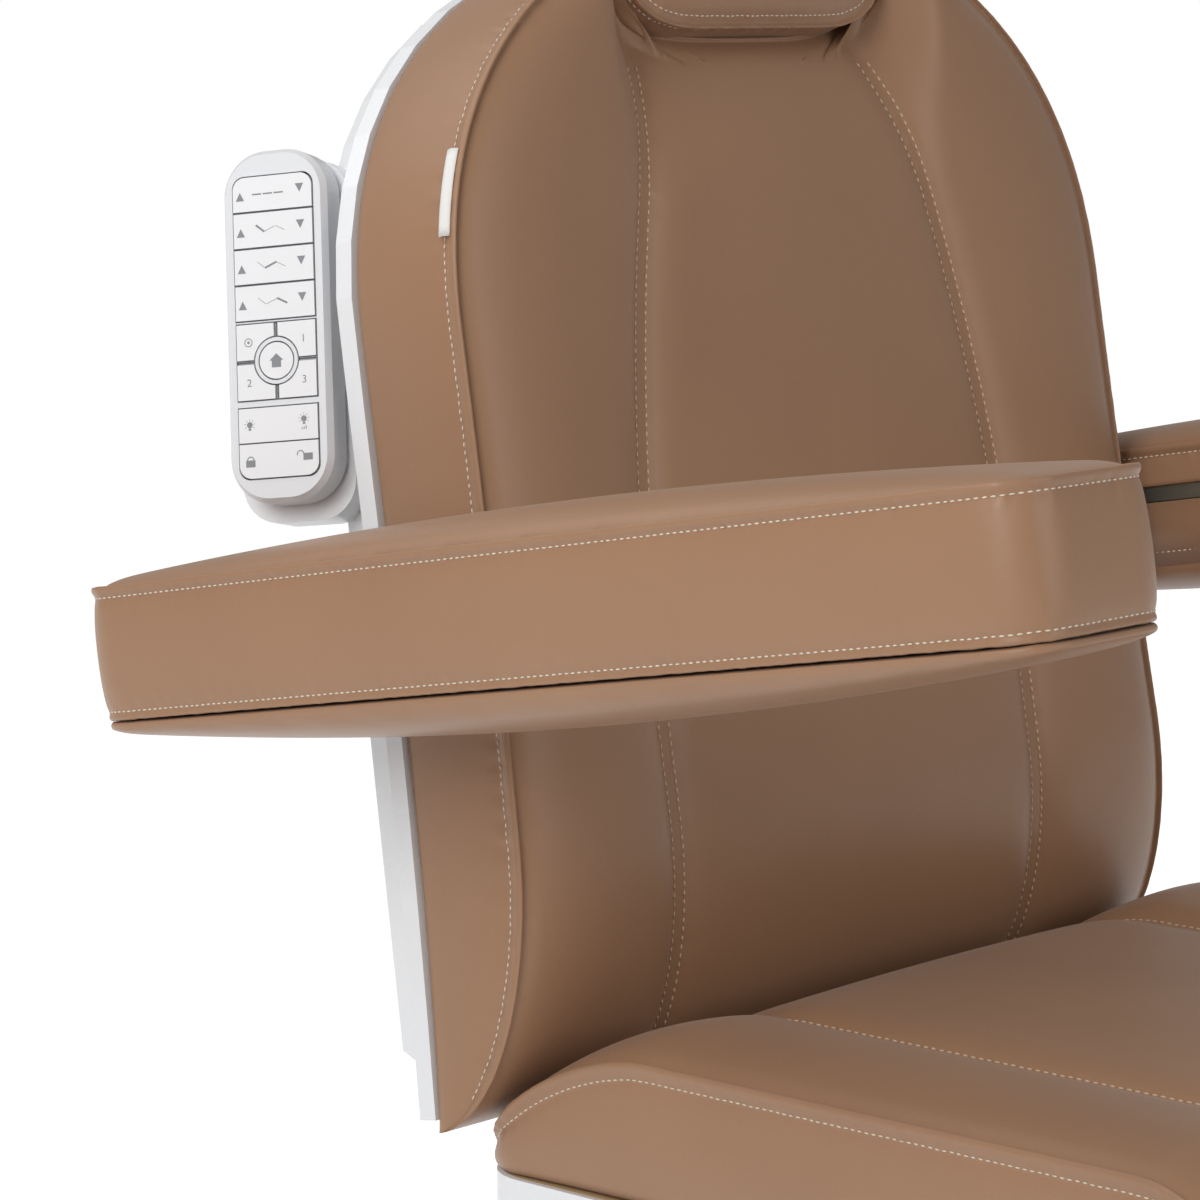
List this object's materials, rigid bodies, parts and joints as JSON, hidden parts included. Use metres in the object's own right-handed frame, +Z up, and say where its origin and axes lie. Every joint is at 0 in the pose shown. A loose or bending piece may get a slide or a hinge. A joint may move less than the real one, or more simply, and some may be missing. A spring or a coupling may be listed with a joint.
{
  "type": "electric treatment chair",
  "caption": "Padded treatment chair with a reclining back, tilting seat, hinged leg rest, swinging armrests, sliding headrest and a keypad, on a telescoping column.",
  "frame": {"origin": "on the floor below the middle of the chair's outer box", "axes": "+Z up; the person faces -Y; +X is the person's left"},
  "size_m": [0.844, 1.0139, 1.3036],
  "materials": {
    "upholstery": "satin",
    "white_moulding": "satin",
    "keypad_case": "satin",
    "keypad_key": "satin",
    "frame_steel": "satin",
    "column_steel": "satin",
    "bright_steel": "satin",
    "rod_steel": "polished",
    "actuator_case": "matte",
    "arm_steel": "satin",
    "plywood": "matte",
    "foot_rubber": "matte",
    "inlet_black": "satin",
    "circuit_board": "satin"
  },
  "bodies": {
    "base": {"base_frame": "frame_steel", "base_cover": "white_moulding", "levelling_feet": "foot_rubber", "power_inlet": "inlet_black", "control_box": "actuator_case", "column_outer": "column_steel", "lift_actuator_body": "actuator_case"},
    "column_stage": {"column_mid": "column_steel"},
    "lift_head": {"column_inner": "column_steel", "lift_actuator_rod": "rod_steel", "tilt_head": "frame_steel", "tilt_axle": "bright_steel"},
    "tilt_actuator": {"tilt_actuator_body": "actuator_case"},
    "tilt_rod": {"tilt_actuator_rod": "rod_steel"},
    "seat": {"seat_frame": "frame_steel", "hinge_pins": "bright_steel", "seat_shell": "white_moulding", "seat_board": "plywood", "seat_cushion": "upholstery", "back_actuator_body": "actuator_case", "leg_actuator_body": "actuator_case"},
    "back_rod": {"back_actuator_rod": "rod_steel"},
    "leg_rod": {"leg_actuator_rod": "rod_steel"},
    "back": {"back_frame": "frame_steel", "armrest_axle": "bright_steel", "back_shell": "white_moulding", "back_board": "plywood", "back_cushion": "upholstery", "headrest_sleeves": "bright_steel", "handset_holder": "white_moulding"},
    "headrest_slider": {"headrest_rods": "bright_steel"},
    "headrest": {"headrest_bracket": "frame_steel", "headrest_board": "plywood", "headrest_cushion": "upholstery"},
    "armrest_right": {"armrest_arm_right": "arm_steel", "armrest_pad_right": "upholstery", "armrest_under_right": "upholstery"},
    "armrest_left": {"armrest_arm_left": "arm_steel", "armrest_pad_left": "upholstery", "armrest_under_left": "upholstery"},
    "leg_rest": {"leg_frame": "frame_steel", "leg_shell": "white_moulding", "leg_board": "plywood", "leg_cushion": "upholstery"},
    "handset": {"handset_front": "keypad_case", "handset_back": "keypad_case", "handset_board": "circuit_board"},
    "key_height": {"key_height": "keypad_key"},
    "key_back": {"key_back": "keypad_key"},
    "key_seat": {"key_seat": "keypad_key"},
    "key_leg": {"key_leg": "keypad_key"},
    "key_set": {"key_set": "keypad_key"},
    "key_memory_1": {"key_memory_1": "keypad_key"},
    "key_memory_2": {"key_memory_2": "keypad_key"},
    "key_memory_3": {"key_memory_3": "keypad_key"},
    "key_home": {"key_home": "keypad_key"},
    "key_light": {"key_light": "keypad_key"},
    "key_lock": {"key_lock": "keypad_key"}
  },
  "joints": [
    {"name": "lift", "type": "slide", "parent": "base", "child": "lift_head", "axis": [0, 0, 1], "range_m": [0, 0.3]},
    {"name": "column_stage_slide", "type": "slide", "parent": "base", "child": "column_stage", "axis": [0, 0, 1], "range_m": [0, 0.15]},
    {"name": "seat_tilt", "type": "hinge", "parent": "lift_head", "child": "seat", "pos_m": [0, 0.061, 0.42], "axis": [-1, 0, 0], "range_deg": [0, 12]},
    {"name": "tilt_actuator_swing", "type": "hinge", "parent": "lift_head", "child": "tilt_actuator", "pos_m": [0, -0.06, 0.24], "axis": [-1, 0, 0], "range_deg": [0, 3.11]},
    {"name": "tilt_rod_slide", "type": "slide", "parent": "tilt_actuator", "child": "tilt_rod", "axis": [0, -0.1758, 0.9844], "range_m": [0, 0.031]},
    {"name": "back_recline", "type": "hinge", "parent": "seat", "child": "back", "pos_m": [0, 0.33461, 0.48515], "axis": [-1, 0, 0], "range_deg": [0, 80]},
    {"name": "back_rod_slide", "type": "slide", "parent": "seat", "child": "back_rod", "axis": [0, -1, 0], "range_m": [0, 0.1277]},
    {"name": "leg_raise", "type": "hinge", "parent": "seat", "child": "leg_rest", "pos_m": [0, -0.203, 0.455], "axis": [-1, 0, 0], "range_deg": [0, 65]},
    {"name": "leg_rod_slide", "type": "slide", "parent": "seat", "child": "leg_rod", "axis": [0, -1, 0], "range_m": [0, 0.0894]},
    {"name": "armrest_right_swing", "type": "hinge", "parent": "back", "child": "armrest_right", "pos_m": [-0.303, 0.42567, 0.78908], "axis": [1, 0, 0], "range_deg": [-20, 80]},
    {"name": "armrest_left_swing", "type": "hinge", "parent": "back", "child": "armrest_left", "pos_m": [0.303, 0.42567, 0.78908], "axis": [1, 0, 0], "range_deg": [-20, 80]},
    {"name": "headrest_slide", "type": "slide", "parent": "back", "child": "headrest_slider", "axis": [0, 0.1702, 0.9854], "range_m": [0, 0.09]},
    {"name": "headrest_tilt", "type": "hinge", "parent": "headrest_slider", "child": "headrest", "pos_m": [0, 0.48087, 1.17329], "axis": [-1, 0, 0], "range_deg": [0, 30]},
    {"name": "handset_lift", "type": "slide", "parent": "back", "child": "handset", "axis": [0.1358, 0.1671, 0.9765], "range_m": [0, 0.08]},
    {"name": "key_height_rock", "type": "hinge", "parent": "handset", "child": "key_height", "pos_m": [-0.28733, 0.46275, 1.01913], "axis": [0.1358, 0.1671, 0.9765], "range_deg": [-2.5, 2.5], "stiffness_Nm_per_rad": 0.1},
    {"name": "key_back_rock", "type": "hinge", "parent": "handset", "child": "key_back", "pos_m": [-0.29005, 0.4594, 0.9996], "axis": [0.1358, 0.1671, 0.9765], "range_deg": [-2.5, 2.5], "stiffness_Nm_per_rad": 0.1},
    {"name": "key_seat_rock", "type": "hinge", "parent": "handset", "child": "key_seat", "pos_m": [-0.29276, 0.45606, 0.98006], "axis": [0.1358, 0.1671, 0.9765], "range_deg": [-2.5, 2.5], "stiffness_Nm_per_rad": 0.1},
    {"name": "key_leg_rock", "type": "hinge", "parent": "handset", "child": "key_leg", "pos_m": [-0.29548, 0.45272, 0.96053], "axis": [0.1358, 0.1671, 0.9765], "range_deg": [-2.5, 2.5], "stiffness_Nm_per_rad": 0.1},
    {"name": "key_light_rock", "type": "hinge", "parent": "handset", "child": "key_light", "pos_m": [-0.30461, 0.44149, 0.89491], "axis": [0.1358, 0.1671, 0.9765], "range_deg": [-2.5, 2.5], "stiffness_Nm_per_rad": 0.1},
    {"name": "key_lock_rock", "type": "hinge", "parent": "handset", "child": "key_lock", "pos_m": [-0.30727, 0.43821, 0.87577], "axis": [0.1358, 0.1671, 0.9765], "range_deg": [-2.5, 2.5], "stiffness_Nm_per_rad": 0.1},
    {"name": "key_set_press", "type": "slide", "parent": "handset", "child": "key_set", "axis": [0.9183, 0.3488, -0.1874], "range_m": [0, 0.0007], "stiffness_N_per_m": 600},
    {"name": "key_memory_1_press", "type": "slide", "parent": "handset", "child": "key_memory_1", "axis": [0.9183, 0.3488, -0.1874], "range_m": [0, 0.0007], "stiffness_N_per_m": 600},
    {"name": "key_memory_2_press", "type": "slide", "parent": "handset", "child": "key_memory_2", "axis": [0.9183, 0.3488, -0.1874], "range_m": [0, 0.0007], "stiffness_N_per_m": 600},
    {"name": "key_memory_3_press", "type": "slide", "parent": "handset", "child": "key_memory_3", "axis": [0.9183, 0.3488, -0.1874], "range_m": [0, 0.0007], "stiffness_N_per_m": 600},
    {"name": "key_home_press", "type": "slide", "parent": "handset", "child": "key_home", "axis": [0.9183, 0.3488, -0.1874], "range_m": [0, 0.0007], "stiffness_N_per_m": 600}
  ],
  "couplings": [
    {"joint": "column_stage_slide", "follows": "lift", "ratio": 0.5},
    {"joint": "tilt_actuator_swing", "follows": "seat_tilt", "ratio": 0.25505},
    {"joint": "tilt_rod_slide", "follows": "seat_tilt", "m_per_rad": 0.14672},
    {"joint": "back_rod_slide", "follows": "back_recline", "m_per_rad": 0.091346},
    {"joint": "leg_rod_slide", "follows": "leg_raise", "m_per_rad": 0.078618}
  ]
}
